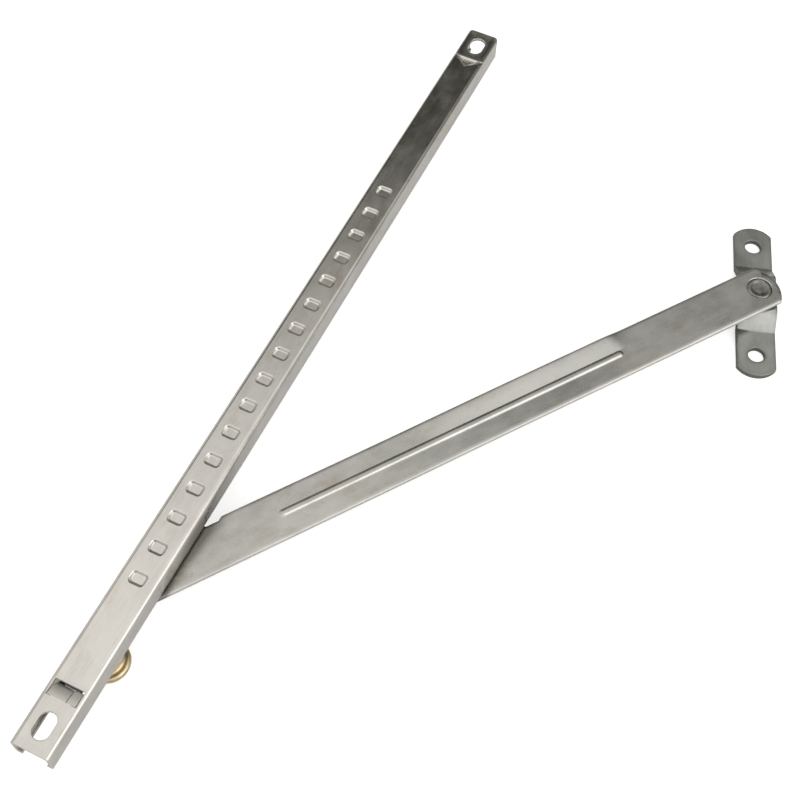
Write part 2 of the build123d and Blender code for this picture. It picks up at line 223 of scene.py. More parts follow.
def piece(name, shells, body, material, stands_for, crease=38.0, marks=None):
    """One mesh from closed shells of (points in millimetres, faces, rim weights).

    The rim weights are one at a free edge and fade inwards. They go to the finish as wear, and where the rim
    tone is pale also as a painted highlight along the edges. Each of marks is a name and a function of the
    points, whose weights also go to the finish.
    """
    points = np.concatenate([s[0] for s in shells]) * MM
    starts = np.cumsum([0] + [len(s[0]) for s in shells[:-1]])
    faces = [f for s, start in zip(shells, starts) for f in shifted(s[1], start)]
    rims = np.concatenate([s[2] for s in shells])
    mesh = bpy.data.meshes.new(name)
    mesh.from_pydata(points.tolist(), [], faces)
    rim = mesh.attributes.new("rim", "FLOAT", "POINT")
    rim.data.foreach_set("value", rims.astype(np.float32))
    for mark, weights in (marks or {}).items():
        layer = mesh.attributes.new(mark, "FLOAT", "POINT")
        layer.data.foreach_set("value", weights(points / MM).astype(np.float32))
    work = bmesh.new()
    work.from_mesh(mesh)
    bmesh.ops.remove_doubles(work, verts=work.verts, dist=1e-7)
    bmesh.ops.recalc_face_normals(work, faces=work.faces)
    work.to_mesh(mesh)
    work.free()
    mesh.shade_smooth()
    mesh.set_sharp_from_angle(angle=math.radians(crease))
    mesh.materials.append(material)
    thing = bpy.data.objects.new(name, mesh)
    bpy.context.scene.collection.objects.link(thing)
    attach(thing, body)
    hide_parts(*stands_for)


def sheet_shell(s, t, place, thickness, edge, radii, hole=None, press=None, seam=None):
    """Closed shell of bent sheet metal.

    s and t are flat-pattern coordinates on a grid. The skins lie half a thickness to each side,
    moved by press(s, t) along the normal. Near a free edge or a hole, at distance d, a skin drops
    by r - sqrt(r^2 - (r - d)^2), which rounds the rim to radius r. Faces whose middle lies in a
    hole are left out, and a wall joins the skins along every open edge. Where seam(s, t) is true
    the metal goes on into another shell, so the skins stay level there.
    """
    faces = quads(*s.shape)
    s, t, d = s.ravel(), t.ravel(), edge.ravel()
    if hole is not None:
        middle = hole(s[faces].mean(1), t[faces].mean(1))
        faces = faces[middle > 0]
        rim_points = np.unique(open_edges(faces))
        step = 1e-3
        for _ in range(3):
            near = rim_points[np.abs(hole(s[rim_points], t[rim_points])) < 0.3]
            here = hole(s[near], t[near])
            slope_s = (hole(s[near] + step, t[near]) - here) / step
            slope_t = (hole(s[near], t[near] + step) - here) / step
            s[near] -= here * slope_s
            t[near] -= here * slope_t
        d = np.minimum(d, hole(s, t))
    if seam is not None:
        d = np.where(seam(s, t), thickness, d)
    d = np.maximum(d, 0)
    skins = []
    for side, radius in ((1, radii[0]), (-1, radii[1])):
        drop = radius - np.sqrt(np.maximum(radius**2 - np.maximum(radius - d, 0) ** 2, 0))
        pressed = 0 if press is None else press(s, t, side)
        skins.append(place(s, t, side * (thickness / 2 - drop) + pressed))
    count = len(s)
    a, b = open_edges(faces).T
    walls = np.stack([a, a + count, b + count, b], 1)
    every = np.concatenate([faces, faces[:, ::-1] + count, walls])
    rim = np.tile(np.exp(-d / rim_fade), 2)
    used, compact = np.unique(every, return_inverse=True)
    return np.concatenate(skins)[used], compact.reshape(every.shape), rim[used]


def bent_path(corners, radius):
    """Straight runs joined by arcs of one mean radius, as finely spaced points with left normals.

    Returns a function from (distance along, height along the normal) to plane coordinates, and
    the path's length.
    """
    corners = np.array(corners, float)
    points = [corners[0]]
    for before, corner, after in zip(corners[:-2], corners[1:-1], corners[2:]):
        into = (corner - before) / np.hypot(*(corner - before))
        out = (after - corner) / np.hypot(*(after - corner))
        turn = math.atan2(into[0] * out[1] - into[1] * out[0], into @ out)
        start = corner - into * radius * math.tan(abs(turn) / 2)
        centre = start + np.sign(turn) * radius * np.array([-into[1], into[0]])
        angles = np.linspace(0, turn, 25)[:, None]
        spoke = start - centre
        crossed = np.array([-spoke[1], spoke[0]])
        points.extend(centre + spoke * np.cos(angles) + crossed * np.sin(angles))
    points.append(corners[-1])
    points = np.array(points)
    runs = np.hypot(*np.diff(points, axis=0).T)
    points = points[np.append(True, runs > 1e-9)]
    along = np.append(0, np.cumsum(np.hypot(*np.diff(points, axis=0).T)))
    dense = np.linspace(0, along[-1], 6000)
    curve = np.stack([np.interp(dense, along, points[:, i]) for i in (0, 1)], 1)
    ahead = np.gradient(curve, axis=0)
    ahead /= np.hypot(*ahead.T)[:, None]
    normals = np.stack([-ahead[:, 1], ahead[:, 0]], 1)

    def at(distance, height):
        here = [np.interp(distance, dense, curve[:, i]) for i in (0, 1)]
        lean = [np.interp(distance, dense, normals[:, i]) for i in (0, 1)]
        return here[0] + lean[0] * height, here[1] + lean[1] * height

    return at, float(along[-1])


def soft_step(x):
    """Nothing below 0, one above 1, and three x squared less two x cubed between."""
    x = np.clip(x, 0, 1)
    return x * x * (3 - 2 * x)


def end_arc(t, half, sagitta):
    """How far a shallow arc-shaped end stands back at distance t from the middle line."""
    radius = (half**2 + sagitta**2) / (2 * sagitta)
    return radius - np.sqrt(radius**2 - np.minimum(np.abs(t), half) ** 2)


def round_the_grid(s, t, centre, keep, reach, runs=(0.0, 0.0)):
    """Rounds the corners of a grid's square rings about (centre, 0), so that they follow an outline.

    runs are the outline's straight half lengths, both nothing for a circle. Beyond them, a point at
    square radius m moves to round radius m. The move fades out between keep and reach.
    """
    a = np.sign(s - centre) * np.maximum(np.abs(s - centre) - runs[0], 0)
    b = np.sign(t) * np.maximum(np.abs(t) - runs[1], 0)
    m = np.maximum(np.abs(a), np.abs(b))
    h = np.maximum(np.hypot(a, b), 1e-9)
    factor = (m / h - 1) * soft_step((reach - m) / (reach - keep))
    return s + a * factor, t + b * factor


def ring_lines(centre, run, rings):
    """Grid lines for rings about centre: at each ring's radius beyond the straight half length."""
    outward = np.asarray(rings) + run
    return centre + np.concatenate([-outward, [0.0], outward])


def opening_rings(radius, rim, keep, inner):
    """Ring radii for an opening: a few inside it, its crowded rim, and one flat ring at keep."""
    inside = np.arange(inner, radius - inner / 2, inner)
    return np.concatenate([inside, near_edge(radius, 1, rim), [keep]])


def arc_end(u, t, end, centre, keep, half, sagitta):
    """Draws a grid's straight end into a shallow arc, and leaves the rings at centre as they are.

    The shift grows from nothing at the outermost ring, or at centre near the strip's sides, to the
    arc's own set-back at the end.
    """
    away = np.sign(end - centre)
    start = keep * np.clip(1 - (np.abs(t) - keep) / 2.5, 0, 1)
    share = np.clip((away * (u - centre) - start) / (abs(end - centre) - start), 0, 1)
    return u - away * end_arc(t, half, sagitta) * share


def end_gap(s, t, end, half, sagitta):
    """Distance inside an arc-shaped end: the arc's radius less the distance from its centre."""
    radius = (half**2 + sagitta**2) / (2 * sagitta)
    inward = np.sign(-end) * (s - end)
    return np.where(inward < radius, radius - np.hypot(radius - inward, t), radius)


def slot_gap(s, t, centre_s, half_run, radius):
    """Distance outside a slot (or a round hole, when half_run is nothing)."""
    return np.hypot(np.maximum(np.abs(s - centre_s) - half_run, 0), t) - radius


def box_gap(s, t, half_s, half_t, corner=0.0):
    """Distance outside a rectangle with rounded corners, centred on nothing."""
    a = np.abs(s) - half_s + corner
    b = np.abs(t) - half_t + corner
    outside = np.hypot(np.maximum(a, 0), np.maximum(b, 0))
    return outside + np.minimum(np.maximum(a, b), 0) - corner


def turned_plan(s, t, centre, angle):
    """Plan coordinates of a strip that starts at centre and points along angle."""
    x = centre[0] + s * math.cos(angle) - t * math.sin(angle)
    y = centre[1] + s * math.sin(angle) + t * math.cos(angle)
    return x, y


def eased(points, radius):
    """A profile whose inner corners are replaced by small curves through their neighbours."""
    points = np.array(points, float)
    out = [points[0]]
    for before, corner, after in zip(points[:-2], points[1:-1], points[2:]):
        cut = min(radius, np.hypot(*(corner - before)) / 2.2, np.hypot(*(after - corner)) / 2.2)
        a = corner + (before - corner) / np.hypot(*(corner - before)) * cut
        b = corner + (after - corner) / np.hypot(*(after - corner)) * cut
        w = np.linspace(0, 1, 6)[:, None]
        out.extend((1 - w) ** 2 * a + 2 * w * (1 - w) * corner + w**2 * b)
    out.append(points[-1])
    return np.array(out)


def turned_shell(profile, centre, steps=72, loop=False, shape=None, arc=(0.0, 2 * math.pi)):
    """Surface of revolution of a profile of (radius, height) about an upright axis at centre.

    With loop the profile closes on itself, as a ring's section does. shape(angle, radius, height)
    may change the radius. An arc short of a full turn gets a flat face at each end.
    """
    whole = arc[1] - arc[0] > 2 * math.pi - 1e-6
    angles = np.linspace(arc[0], arc[1], steps + 1)
    radius, height = profile[:, 0][:, None], profile[:, 1][:, None]
    angle = angles[None, :] + 0 * radius
    radius = radius + 0 * angle
    height = height + 0 * angle
    if shape is not None:
        radius = shape(angle, radius, height)
    points = np.stack(
        [centre[0] + radius * np.cos(angle), centre[1] + radius * np.sin(angle), height], -1
    )
    rows, columns = radius.shape
    faces = quads(rows, columns)
    if loop:
        last = (rows - 1) * columns + np.arange(columns - 1)
        first = np.arange(columns - 1)
        faces = np.concatenate([faces, np.stack([last, first, first + 1, last + 1], 1)])
    faces = faces.tolist()
    if not whole:
        faces.append([int(i) * columns for i in range(rows)])
        faces.append([int(i) * columns + columns - 1 for i in range(rows)][::-1])
    return points.reshape(-1, 3), faces, np.zeros(points.size // 3)


# ---------------------------------------------------------------- finishes


def add(tree, kind, inputs=None, **settings):
    """A node with its settings, and its inputs linked from sockets or set to values."""
    node = tree.nodes.new(kind)
    for key, value in settings.items():
        setattr(node, key, value)
    for key, value in (inputs or {}).items():
        if isinstance(value, bpy.types.NodeSocket):
            tree.links.new(value, node.inputs[key])
        else:
            node.inputs[key].default_value = value
    return node


def new_finish(name):
    """A new material with its node tree and its shader."""
    material = bpy.data.materials.new(name)
    material.use_nodes = True
    return material, material.node_tree, material.node_tree.nodes["Principled BSDF"]


def bumped(tree, shader, height, strength, distance):
    """Gives the shader a bumped normal: distance in metres for a height of one."""
    bump = add(tree, "ShaderNodeBump", {"Strength": strength, "Distance": distance, "Height": height})
    tree.links.new(bump.outputs["Normal"], shader.inputs["Normal"])


def attribute(tree, name):
    """The weight that a mesh carries under a name, nothing where it carries none."""
    return add(tree, "ShaderNodeAttribute", attribute_name=name).outputs["Fac"]


def ramp(tree, value, *stops):
    """Greys or colours between stops of (place, grey or rgb)."""
    node = add(tree, "ShaderNodeValToRGB", {"Fac": value})
    elements = node.color_ramp.elements
    while len(elements) < len(stops):
        elements.new(0.5)
    for element, (place, tone) in zip(elements, stops):
        element.position = place
        rgb = (tone,) * 3 if isinstance(tone, (int, float)) else tone
        element.color = (*rgb, 1.0)
    return node.outputs["Color"]


def stretched_noise(tree, turn, along, across, detail=2.0, rough=0.5):
    """Noise drawn out along a direction in plan, by its frequencies per metre."""
    coords = add(tree, "ShaderNodeTexCoord").outputs["Object"]
    turned = add(
        tree, "ShaderNodeMapping", {"Vector": coords, "Rotation": (0, 0, -turn)}
    ).outputs["Vector"]
    scaled = add(
        tree, "ShaderNodeMapping", {"Vector": turned, "Scale": (along, across, across)}
    ).outputs["Vector"]
    noise = add(
        tree,
        "ShaderNodeTexNoise",
        {"Vector": scaled, "Scale": 1.0, "Detail": detail, "Roughness": rough},
    )
    return noise.outputs["Fac"]


def blend_tone(tree, factor, a, b, kind="MIX"):
    """Two colours mixed by a factor, each of the three a socket or a constant."""
    node = tree.nodes.new("ShaderNodeMix")
    node.data_type = "RGBA"
    node.blend_type = kind
    sockets = [i for i in node.inputs if i.enabled]
    for socket, value in zip(sockets, (factor, a, b)):
        if isinstance(value, bpy.types.NodeSocket):
            tree.links.new(value, socket)
        elif isinstance(value, (int, float)):
            socket.default_value = value
        else:
            socket.default_value = (*value, 1.0)
    return [o for o in node.outputs if o.enabled][0]


def math_node(tree, operation, *values):
    """The outcome of an operation on numbers, each a socket or a constant."""
    node = tree.nodes.new("ShaderNodeMath")
    node.operation = operation
    for socket, value in zip(node.inputs, values):
        if isinstance(value, bpy.types.NodeSocket):
            tree.links.new(value, socket)
        else:
            socket.default_value = value
    return node.outputs["Value"]


def steel(name, turn, light, dark, rough, grain, scuff, pits, rim_tone=(0.78, 0.76, 0.72),
          rim_share=0.45):
    """Rolled stainless sheet: lengthwise grain, blotches, brown stains, scratches, pits, rims in a tone of
    their own.

    The rim weight of the mesh mixes in the rim tone: a pale tone is edge wear and also a painted
    highlight along the edges, a dark tone makes the edges and hole rims darker. Two more weights
    paint a pale reflection and a dark shadow. The sheet's grain runs along turn.
    """
    pit_tone = (0.13, 0.125, 0.115)
    # Tone of the pale painted reflection, then of the dark painted shadow.
    painted_sheen_tone = (0.80, 0.80, 0.77)
    painted_shadow_tone = (0.16, 0.155, 0.14)
    stain_tone = [c * k for c, k in zip(dark, (0.95, 0.84, 0.72))]
    material, tree, shader = new_finish(name)
    shader.inputs["Metallic"].default_value = 1.0
    fine = stretched_noise(tree, turn, 50, 2400, 3.0, 0.6)
    cloud = stretched_noise(tree, turn, 100, 170, 5.0, 0.6)
    stain = stretched_noise(tree, turn + 0.4, 24, 40, 3.0, 0.5)
    brown = ramp(tree, stretched_noise(tree, turn, 60, 130, 4.0, 0.6), (0.56, 0.0), (0.72, 0.55))
    pitted = ramp(tree, stretched_noise(tree, turn + 0.8, 420, 800, 1.0), (0.76, 0.0), (0.83, pits))
    scratch_a = stretched_noise(tree, turn + 0.55, 90, 3600, 1.0)
    scratch_b = stretched_noise(tree, turn - 0.9, 120, 3000, 1.0)
    scratches = math_node(
        tree,
        "MAXIMUM",
        ramp(tree, scratch_a, (0.66, 0.0), (0.72, 1.0)),
        ramp(tree, scratch_b, (0.67, 0.0), (0.73, 1.0)),
    )
    patchy = math_node(tree, "MULTIPLY_ADD", cloud, 0.55, math_node(tree, "MULTIPLY", stain, 0.45))
    tone = ramp(tree, patchy, (0.38, dark), (0.60, light))
    tinted = blend_tone(tree, brown, tone, stain_tone)
    marked = blend_tone(tree, pitted, tinted, pit_tone)
    streaks = ramp(tree, fine, (0.3, 0.35), (0.7, 0.75))
    streaked = blend_tone(tree, grain * 0.5, marked, streaks, "OVERLAY")
    rim = attribute(tree, "rim")
    # Rims in the rim tone (wear, and with a pale tone a painted edge highlight), then the pale painted
    # reflection by its weight.
    wear_and_sheen = blend_tone(tree, math_node(tree, "MULTIPLY", rim, rim_share), streaked, rim_tone)
    wear_and_sheen = blend_tone(tree, attribute(tree, "painted_sheen"), wear_and_sheen, painted_sheen_tone)
    # Painted shadow: its weight, broken up by the cloud noise, darkens the colour towards the shadow tone.
    patches = math_node(tree, "MULTIPLY_ADD", cloud, 0.8, 0.6)
    painted_shadow_weight = math_node(tree, "MULTIPLY", attribute(tree, "painted_shadow"), patches)
    with_painted_shadow = blend_tone(tree, math_node(tree, "MINIMUM", painted_shadow_weight, 0.85), wear_and_sheen, painted_shadow_tone)
    tree.links.new(with_painted_shadow, shader.inputs["Base Color"])
    base = math_node(tree, "MULTIPLY_ADD", patchy, 0.30, rough - 0.15)
    grained = math_node(tree, "MULTIPLY_ADD", fine, 0.14 * grain, base)
    scuffed = math_node(tree, "MULTIPLY_ADD", scratches, 0.12 * scuff, grained)
    dulled = math_node(tree, "MULTIPLY_ADD", rim, 0.26, scuffed)
    tree.links.new(dulled, shader.inputs["Roughness"])
    grooves = math_node(tree, "MULTIPLY", fine, grain)
    relief = math_node(tree, "MULTIPLY_ADD", scratches, -0.6 * scuff, grooves)
    sunk = math_node(tree, "MULTIPLY_ADD", pitted, -0.7, relief)
    uneven = math_node(tree, "MULTIPLY_ADD", cloud, 1.5, sunk)
    bumped(tree, shader, uneven, 0.25, 0.00004)
    return material


def turned_metal(name, light, dark, rough):
    """Turned or pressed metal: faint rings by height, soft blotches and small dents."""
    material, tree, shader = new_finish(name)
    shader.inputs["Metallic"].default_value = 1.0
    lathe = stretched_noise(tree, 0.0, 60, 60, 2.0, 0.5)
    coords = add(tree, "ShaderNodeTexCoord").outputs["Object"]
    ringed = add(tree, "ShaderNodeMapping", {"Vector": coords, "Scale": (80, 80, 5200)})
    rings = add(
        tree,
        "ShaderNodeTexNoise",
        {"Vector": ringed.outputs["Vector"], "Scale": 1.0, "Detail": 2.0},
    ).outputs["Fac"]
    spots = stretched_noise(tree, 0.3, 650, 650, 3.0, 0.6)
    mixed = math_node(tree, "MULTIPLY_ADD", spots, 0.6, math_node(tree, "MULTIPLY", lathe, 0.4))
    tree.links.new(ramp(tree, mixed, (0.36, dark), (0.62, light)), shader.inputs["Base Color"])
    uneven = math_node(tree, "MULTIPLY_ADD", mixed, 0.25, rough - 0.12)
    tree.links.new(uneven, shader.inputs["Roughness"])
    bumped(tree, shader, math_node(tree, "MULTIPLY_ADD", rings, 0.6, spots), 0.2, 0.00005)
    return material


def moulded_nylon(name, light, dark):
    """Filled nylon: waxy, slightly cloudy, with a fine mould texture."""
    material, tree, shader = new_finish(name)
    shader.inputs["Subsurface Weight"].default_value = 0.15
    shader.inputs["Subsurface Radius"].default_value = (0.002, 0.0018, 0.0014)
    cloud = stretched_noise(tree, 0.0, 160, 160, 3.0, 0.5)
    pores = stretched_noise(tree, 0.0, 2600, 2600, 2.0, 0.5)
    tree.links.new(ramp(tree, cloud, (0.35, dark), (0.65, light)), shader.inputs["Base Color"])
    tree.links.new(math_node(tree, "MULTIPLY_ADD", cloud, 0.2, 0.36), shader.inputs["Roughness"])
    bumped(tree, shader, pores, 0.15, 0.00004)
    return material


track_steel = steel(
    "track_steel", 0.0, (0.69, 0.67, 0.635), (0.57, 0.55, 0.52),
    rough=0.16, grain=0.35, scuff=0.35, pits=0.15,
)
arm_steel = steel(
    "arm_steel", arm_turn, (0.60, 0.59, 0.56), (0.43, 0.425, 0.40),
    rough=0.27, grain=0.14, scuff=0.6, pits=0.3,
)
foot_steel = steel(
    "foot_steel", foot_turn, (0.57, 0.58, 0.555), (0.40, 0.41, 0.385),
    rough=0.29, grain=0.12, scuff=0.7, pits=0.35, rim_tone=(0.16, 0.16, 0.15), rim_share=0.85,
)
rivet_steel = turned_metal("rivet_steel", (0.42, 0.405, 0.38), (0.14, 0.135, 0.125), 0.38)
washer_steel = turned_metal("washer_steel", (0.64, 0.63, 0.60), (0.5, 0.49, 0.46), 0.32)
spring_steel = turned_metal("spring_steel", (0.46, 0.45, 0.44), (0.3, 0.29, 0.28), 0.3)
knob_brass = turned_metal("knob_brass", (0.82, 0.70, 0.46), (0.60, 0.48, 0.28), 0.33)
bush_bronze = turned_metal("bush_bronze", (0.55, 0.38, 0.2), (0.38, 0.25, 0.12), 0.42)
cast_zinc = turned_metal("cast_zinc", (0.52, 0.52, 0.52), (0.4, 0.4, 0.4), 0.46)
nylon = moulded_nylon("nylon", (0.055, 0.055, 0.05), (0.03, 0.03, 0.028))


# ------------------------------------------------------------------- track


def track_section():
    """The channel's folded section as a path in the YZ plane, from lip to lip."""
    side = half_width - track_sheet / 2
    lip = half_width - lip_width
    top, bottom = -track_sheet / 2, channel_floor + track_sheet / 2
    left = [(-lip, bottom), (-side, bottom), (-side, top)]
    right = [(-y, z) for y, z in left[::-1]]
    return bent_path(left + right, track_bend)


def far_end_cut(y, z):
    """How far the far end stands back from its full length, for its rounded plan and lower corners."""
    plan = np.maximum(np.abs(y) - (half_width - far_corner), 0)
    side = np.maximum(channel_floor + far_corner - z, 0)
    cuts = [far_corner - np.sqrt(np.maximum(far_corner**2 - v**2, 0)) for v in (plan, side)]
    return np.maximum(*cuts)


def point_gap(x, across):
    """Distance outside the triangle that the pointed stop tab leaves in the web."""
    base, tip = far_x - point_inset, far_x - point_inset - point_length
    slope = math.hypot(point_length, point_half)
    return np.maximum(x - base, (np.abs(across) * point_length - point_half * (x - tip)) / slope)


def track_hole(x, across):
    """Distance outside the track's nearest opening: two slots, a window and a triangle."""
    gaps = [slot_gap(x, across, centre, slot_half_run, slot_radius) for centre in slot_centres]
    gaps.append(box_gap(x - window_middle, across, window_length / 2, window_half, window_corner))
    gaps.append(point_gap(x, across))
    return np.minimum.reduce(gaps)


def dimple_press(x, across, side):
    """Either side's skin goes down alike: over each dimple, a rounded box with soft walls, and round
    the triangle in a faint ring with a bell-shaped section.
    """
    ring_at, ring_width = point_sink_ring
    first = near_x + dimple_inset
    nearest = first + dimple_pitch * np.clip(np.round((x - first) / dimple_pitch), 0, dimple_count - 1)
    gap = box_gap(x - nearest, across, *dimple_half, dimple_corner)
    sink = point_sink * np.exp(-(((point_gap(x, across) - ring_at) / ring_width) ** 2))
    return -sink - dimple_depth * soft_step((dimple_lead - gap) / dimple_wall)


def track_seam(x, across):
    """True along the two folds where the stop tabs leave the web."""
    near = 0.3
    window = near_x + window_inset
    at_window = (np.abs(x - window) < near) & (np.abs(across) < window_half - tab_gap)
    at_point = (np.abs(x - far_x + point_inset) < near) & (np.abs(across) < point_half - tab_gap)
    return at_window | at_point


def make_track():
    """The channel as one sheet, its lines crowded round every opening and dimple, and its tabs."""
    section, length = track_section()
    half = length / 2
    base = far_x - point_inset
    dimples = near_x + dimple_inset + dimple_pitch * np.arange(dimple_count)
    rim = skin_radii[0]
    slot_rings = opening_rings(slot_radius, rim, slot_radius + 0.6, 0.5)
    window_rings = opening_rings(window_corner, rim, window_corner + 0.6, 0.12)
    dimple_rings = np.concatenate([[0.0, 0.4], np.linspace(0.55, 1.4, 6), [1.6]])
    slot_runs = (slot_half_run, 0.0)
    window_runs = (window_length / 2 - window_corner, window_half - window_corner)
    dimple_runs = (dimple_half[0] - dimple_corner, dimple_half[1] - dimple_corner)
    along = merged(
        *[ring_lines(x, slot_half_run, np.append(0.0, slot_rings)) for x in slot_centres],
        *[ring_lines(x, dimple_runs[0], dimple_rings) for x in dimples],
        ring_lines(window_middle, window_runs[0], np.append(0.0, window_rings)),
        near_edge(near_x, 1, rim),
        near_edge(far_x, -1, rim),
        lines((near_x + window_inset + 6.5, dimples[0] - 4, 5), (dimples[-1] + 4, base - 5.4, 5)),
        lines((base - 5.4, base - 4.0, 0.2), (base - 4.0, base - 3.2, 0.12)),
        lines((base - 3.2, base - 0.4, 0.2), (base - 0.4, base + 0.6, 0.1)),
    )
    flat = half_width - track_sheet / 2 - track_bend
    bend = track_bend * math.pi / 2
    flange = flat + bend
    flange_end = flange - channel_floor - track_sheet - 2 * track_bend
    one_side = merged(
        [0.0],
        slot_rings,
        dimple_rings + dimple_runs[1],
        window_rings + window_runs[1],
        lines((flat, flange, bend / 7), (flange, flange_end, 1.6)),
        lines((flange_end, flange_end + bend, bend / 6)),
        near_edge(half, -1, rim),
    )
    across = merged(-one_side, one_side)
    x, p = np.meshgrid(along, across, indexing="ij")
    y, z = section(p + half, track_sheet / 2)
    cut = far_end_cut(y, z)
    start = base + 1.0
    share = np.clip((x - start) / (far_x - start), 0, 1)
    x = x - cut * share
    from_far = (far_x - cut) - x
    edge = np.minimum.reduce([x - near_x, from_far, half - np.abs(p)])
    rounded = [(c, slot_rings[-1], slot_rings[-1] + 0.9, slot_runs) for c in slot_centres]
    rounded += [(c, dimple_rings[-1], dimple_rings[-1] + 0.85, dimple_runs) for c in dimples]
    rounded.append((window_middle, window_rings[-1] - 0.2, window_rings[-1] + 0.3, window_runs))
    for centre, keep, reach, runs in rounded:
        x, p = round_the_grid(x, p, centre, keep, reach, runs)

    def place(x, p, height):
        y, z = section(p + half, height)
        return np.stack([x, y, z], 1)

    web = sheet_shell(x, p, place, track_sheet, edge, skin_radii, track_hole, dimple_press, track_seam)
    shells = [web, *near_stop_tabs(), far_stop_tab()]
    piece("channel_track", shells, "track", track_steel, ["track"])


def curl_tab(low, high, drop):
    """A tab that leaves the web level and curls down along an arc of radius (run^2 + drop^2) / 2 drop."""
    run = window_length - tab_gap
    radius = (run**2 + drop**2) / (2 * drop)
    length = radius * math.atan2(run, radius - drop)
    down = np.concatenate([lines((0, length - 0.5, 0.4)), near_edge(length, -1, 0.22)[::-1]])
    left_rim = near_edge(low, 1, 0.2)[:-1]
    right_rim = near_edge(high, -1, 0.2)[:-1][::-1]
    sideways = np.concatenate([left_rim, lines((low + 0.5, high - 0.5, 0.6)), right_rim])
    s, t = np.meshgrid(down, sideways, indexing="ij")
    hinge = near_x + window_inset

    def place(s, t, height):
        angle = s / radius
        reach = radius - track_sheet / 2 + height
        x = hinge + reach * np.sin(angle)
        z = -radius + reach * np.cos(angle)
        return np.stack([x, t, z], 1)

    corner = box_gap(s, t - (low + high) / 2, length, (high - low) / 2, tab_corner)
    edge = np.where(s > length / 2, -corner, np.minimum(t - low, high - t))
    ends = np.maximum(edge, 0) + np.where(s < 0.3, 1.0, 0)
    points, faces, rim = sheet_shell(s, t, place, track_sheet, ends, skin_radii)
    # Painted highlight: the whole tab takes at least this rim weight, so the pale rim tone covers it.
    return points, faces, np.maximum(rim, tab_painted_light)


def near_stop_tabs():
    """The wide and the narrow tab of the window, with a gap between them and at its sides."""
    edge = window_half - tab_gap
    return [
        curl_tab(edge - wide_tab, edge, wide_tab_drop),
        curl_tab(-edge, edge - wide_tab - tab_gap, narrow_tab_drop),
    ]


def far_stop_tab():
    """A pointed tab folded down at its base round a small bend, its width shrinking to the point.

    In the bend the angle grows evenly with the distance, and past it the tab runs on straight.
    """
    base = far_x - point_inset
    reach = point_length - tab_gap - point_bend / 2
    share = np.concatenate([lines((0, 0.26, 0.02), (0.26, 0.9, 0.06)), np.array([0.93, 0.96, 0.985])])
    s, v = np.meshgrid(share * reach, np.linspace(-1, 1, 17), indexing="ij")
    half = (point_half - tab_gap) * (1 - s / reach) + point_blunt
    t = v * half
    edge = np.minimum(half - np.abs(t), reach - s)
    edge = np.where(s < 0.2, 1.0, edge)
    middle = track_sheet / 2

    def place(s, t, height):
        angle = np.minimum(s / point_bend, point_angle)
        straight = np.maximum(s - point_bend * point_angle, 0)
        arm = point_bend + height
        back = arm * np.sin(angle) + straight * math.cos(point_angle)
        down = middle + point_bend - arm * np.cos(angle) + straight * math.sin(point_angle)
        return np.stack([base - back, t, -down], 1)

    points, faces, rim = sheet_shell(s[::-1], t[::-1], place, track_sheet, edge[::-1], skin_radii)
    # The far tab keeps a fifth of its rim weight: faint rim wear and painted edge highlight.
    return points, faces, point_wear_and_highlight * rim


# --------------------------------------------------------------------- arm


def rib_gap(s, t, shrink):
    """Distance outside the rib's round-ended outline, drawn in by shrink."""
    run = (rib_run[1] - rib_run[0]) / 2 - rib_half
    return slot_gap(s, t, sum(rib_run) / 2, run, rib_half - shrink)


def arm_press(s, t, side):
    """Rib pressed up, the flats beside it tilted a little, and the rivet's seat.

    The seat is a countersink with a narrow moat round the rivet's head.
    """
    shrink = 0.0 if side > 0 else rib_inner_shrink
    start, end = panel_run
    ridge = rib_height * soft_step(-rib_gap(s, t, shrink) / rib_wall)
    rise = soft_step((s - start) / panel_growth) * soft_step((end + panel_fade[0] - s) / panel_fade[1])
    lower_rise = soft_step((s - start) / lower_growth) * soft_step((end + lower_fade[0] - s) / lower_fade[1])
    panel = rise * math.tan(panel_tilt) * np.maximum(t - rib_half, 0)
    panel -= lower_rise * math.tan(lower_tilt) * np.minimum(t + rib_half, 0)
    if side < 0:
        return ridge + panel
    from_rivet = np.hypot(s - arm_reach, t)
    slope = (rivet_head + rivet_gap - from_rivet) / (rivet_head - pin_radius)
    seat = -rivet_depth * np.clip(slope, 0, 1)
    moat = -moat_depth * np.exp(-(((from_rivet - rivet_head - moat_width / 2) / moat_width) ** 2))
    return ridge + panel + seat + moat


def painted_channel_shadow(points):
    """Painted shadow on the arm's upper face beside the channel: a bell curve of the distance from its side.
    """
    beside = -half_width - points[:, 1]
    spread = shadow_reach * np.clip((points[:, 0] - pivot[0]) / 20.0, 0.3, 1.0)
    upper = points[:, 2] > arm_top - upper_face_depth
    return np.exp(-((np.maximum(beside, 0) / spread) ** 2)) * upper


def painted_panel_sheen(points):
    """Painted reflection: a paler tone on the tilted panel, strongest beside the rib and growing along the
    panel.
    """
    x, y = points[:, 0] - pivot[0], points[:, 1] - pivot[1]
    s = x * math.cos(arm_turn) + y * math.sin(arm_turn)
    t = y * math.cos(arm_turn) - x * math.sin(arm_turn)
    along = soft_step((s - panel_run[0]) / panel_growth) * soft_step((panel_run[1] + 1 - s) / 2.0)
    inwards = soft_step((t - rib_half + 0.4) / 0.6) * soft_step((arm_half_width - t) / 4.5)
    return panel_sheen_share * along * inwards * (points[:, 2] > arm_top - upper_face_depth)


